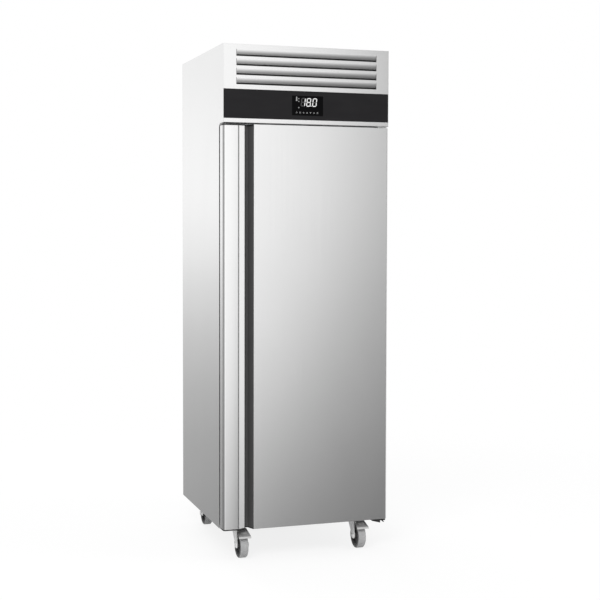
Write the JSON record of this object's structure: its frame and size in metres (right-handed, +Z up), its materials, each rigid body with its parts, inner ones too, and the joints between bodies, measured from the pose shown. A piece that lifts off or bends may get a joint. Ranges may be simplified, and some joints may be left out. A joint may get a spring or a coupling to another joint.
{
  "type": "upright freezer",
  "caption": "Tall stainless freezer cabinet with a full-height hinged door, wire shelves, a cooling unit behind top louvres and swivel casters.",
  "frame": {"origin": "on the floor under the middle of the cabinet's width and depth", "axes": "+Z up, the door faces -Y, +X to the right of a person facing the door"},
  "size_m": [0.68, 0.7, 2.01],
  "materials": {
    "stainless": "satin stainless steel",
    "galvanised": "galvanised sheet",
    "liner_steel": "satin stainless steel",
    "foam": "polyurethane foam",
    "frame_plastic": "matte",
    "black_strip": "satin black",
    "display": "glossy black",
    "dark_plastic": "matte",
    "gasket": "matte",
    "white_nylon": "matte",
    "zinc_steel": "zinc plated",
    "dark_steel": "dark zinc",
    "black_steel": "black paint",
    "coil": "mill finish",
    "fan_plastic": "matte",
    "black_rubber": "matte",
    "copper": "bare copper",
    "coated_wire": "dark grey coating",
    "caster_rubber": "grey rubber on a dark core"
  },
  "bodies": {
    "cabinet": {"left_side_panel": "stainless", "right_side_panel": "stainless", "back_panel": "galvanised", "base_panel": "galvanised", "machine_deck": "galvanised", "cabinet_insulation": "foam", "inner_liner": "liner_steel", "door_frame_trim": "frame_plastic", "top_cover": "galvanised", "rear_vent_panel": "galvanised", "front_fascia": "stainless", "control_strip": "black_strip", "display_module": "display", "controller_box": "dark_plastic", "upper_hinge_bracket": "zinc_steel", "lower_hinge_bracket": "black_steel", "shelf_uprights": "liner_steel", "evaporator_cover": "liner_steel", "evaporator_coil": "coil", "evaporator_drip_tray": "coil", "evaporator_fan_motor": "dark_plastic", "drain_pipe": "white_nylon", "condensate_pan": "dark_plastic", "condenser_coil": "coil", "condenser_shroud": "galvanised", "condenser_fan_motor": "black_steel", "compressor": "black_steel", "compressor_feet": "black_rubber", "filter_drier": "copper", "refrigerant_pipes": "copper", "electrical_box": "dark_plastic", "power_gland": "dark_plastic", "caster_plates": "zinc_steel", "shelf_runners_1": "liner_steel", "shelf_runners_2": "liner_steel", "shelf_runners_3": "liner_steel"},
    "door": {"door_outer_panel": "stainless", "door_handle_stile": "stainless", "door_handle_channel": "dark_plastic", "door_end_caps": "dark_plastic", "door_insulation": "foam", "door_inner_panel": "liner_steel", "door_gasket": "gasket", "door_hinge_bushes": "white_nylon"},
    "evaporator_fan": {"evaporator_fan_blade": "fan_plastic"},
    "condenser_fan": {"condenser_fan_blade": "coil"},
    "shelf_1": {"wire_shelf_1": "coated_wire"},
    "shelf_2": {"wire_shelf_2": "coated_wire"},
    "shelf_3": {"wire_shelf_3": "coated_wire"},
    "fork_front_left": {"caster_fork_front_left": "zinc_steel"},
    "wheel_front_left": {"caster_wheel_front_left": "caster_rubber"},
    "fork_front_right": {"caster_fork_front_right": "zinc_steel"},
    "wheel_front_right": {"caster_wheel_front_right": "caster_rubber"},
    "fork_rear_left": {"caster_fork_rear_left": "zinc_steel"},
    "wheel_rear_left": {"caster_wheel_rear_left": "caster_rubber"},
    "fork_rear_right": {"caster_fork_rear_right": "zinc_steel"},
    "wheel_rear_right": {"caster_wheel_rear_right": "caster_rubber"},
    "pedal_front_left": {"brake_pedal_front_left": "dark_steel"},
    "pedal_front_right": {"brake_pedal_front_right": "dark_steel"}
  },
  "joints": [
    {"name": "door_hinge", "type": "hinge", "parent": "cabinet", "child": "door", "pos_m": [0.326, -0.33, 0.9155], "axis": [0, 0, 1], "range_deg": [0, 110]},
    {"name": "shelf_1_slide", "type": "slide", "parent": "cabinet", "child": "shelf_1", "axis": [0, -1, 0], "range_m": [0, 0.025]},
    {"name": "shelf_2_slide", "type": "slide", "parent": "cabinet", "child": "shelf_2", "axis": [0, -1, 0], "range_m": [0, 0.025]},
    {"name": "shelf_3_slide", "type": "slide", "parent": "cabinet", "child": "shelf_3", "axis": [0, -1, 0], "range_m": [0, 0.025]},
    {"name": "evaporator_fan_spin", "type": "hinge", "parent": "cabinet", "child": "evaporator_fan", "pos_m": [0, 0.036, 1.57], "axis": [0, 0, 1], "continuous": true},
    {"name": "condenser_fan_spin", "type": "hinge", "parent": "cabinet", "child": "condenser_fan", "pos_m": [0.03, -0.22, 1.838], "axis": [0, 1, 0], "continuous": true},
    {"name": "swivel_front_left", "type": "hinge", "parent": "cabinet", "child": "fork_front_left", "pos_m": [-0.247, -0.237, 0.11], "axis": [0, 0, 1], "continuous": true},
    {"name": "roll_front_left", "type": "hinge", "parent": "fork_front_left", "child": "wheel_front_left", "pos_m": [-0.247, -0.275, 0.05], "axis": [1, 0, 0], "continuous": true},
    {"name": "brake_front_left", "type": "hinge", "parent": "fork_front_left", "child": "pedal_front_left", "pos_m": [-0.247, -0.271, 0.106], "axis": [1, 0, 0], "range_deg": [0, 14]},
    {"name": "swivel_front_right", "type": "hinge", "parent": "cabinet", "child": "fork_front_right", "pos_m": [0.247, -0.237, 0.11], "axis": [0, 0, 1], "continuous": true},
    {"name": "roll_front_right", "type": "hinge", "parent": "fork_front_right", "child": "wheel_front_right", "pos_m": [0.247, -0.275, 0.05], "axis": [1, 0, 0], "continuous": true},
    {"name": "brake_front_right", "type": "hinge", "parent": "fork_front_right", "child": "pedal_front_right", "pos_m": [0.247, -0.271, 0.106], "axis": [1, 0, 0], "range_deg": [0, 14]},
    {"name": "swivel_rear_left", "type": "hinge", "parent": "cabinet", "child": "fork_rear_left", "pos_m": [-0.247, 0.26, 0.11], "axis": [0, 0, 1], "continuous": true},
    {"name": "roll_rear_left", "type": "hinge", "parent": "fork_rear_left", "child": "wheel_rear_left", "pos_m": [-0.247, 0.298, 0.05], "axis": [1, 0, 0], "continuous": true},
    {"name": "swivel_rear_right", "type": "hinge", "parent": "cabinet", "child": "fork_rear_right", "pos_m": [0.247, 0.26, 0.11], "axis": [0, 0, 1], "continuous": true},
    {"name": "roll_rear_right", "type": "hinge", "parent": "fork_rear_right", "child": "wheel_rear_right", "pos_m": [0.247, 0.298, 0.05], "axis": [1, 0, 0], "continuous": true}
  ]
}
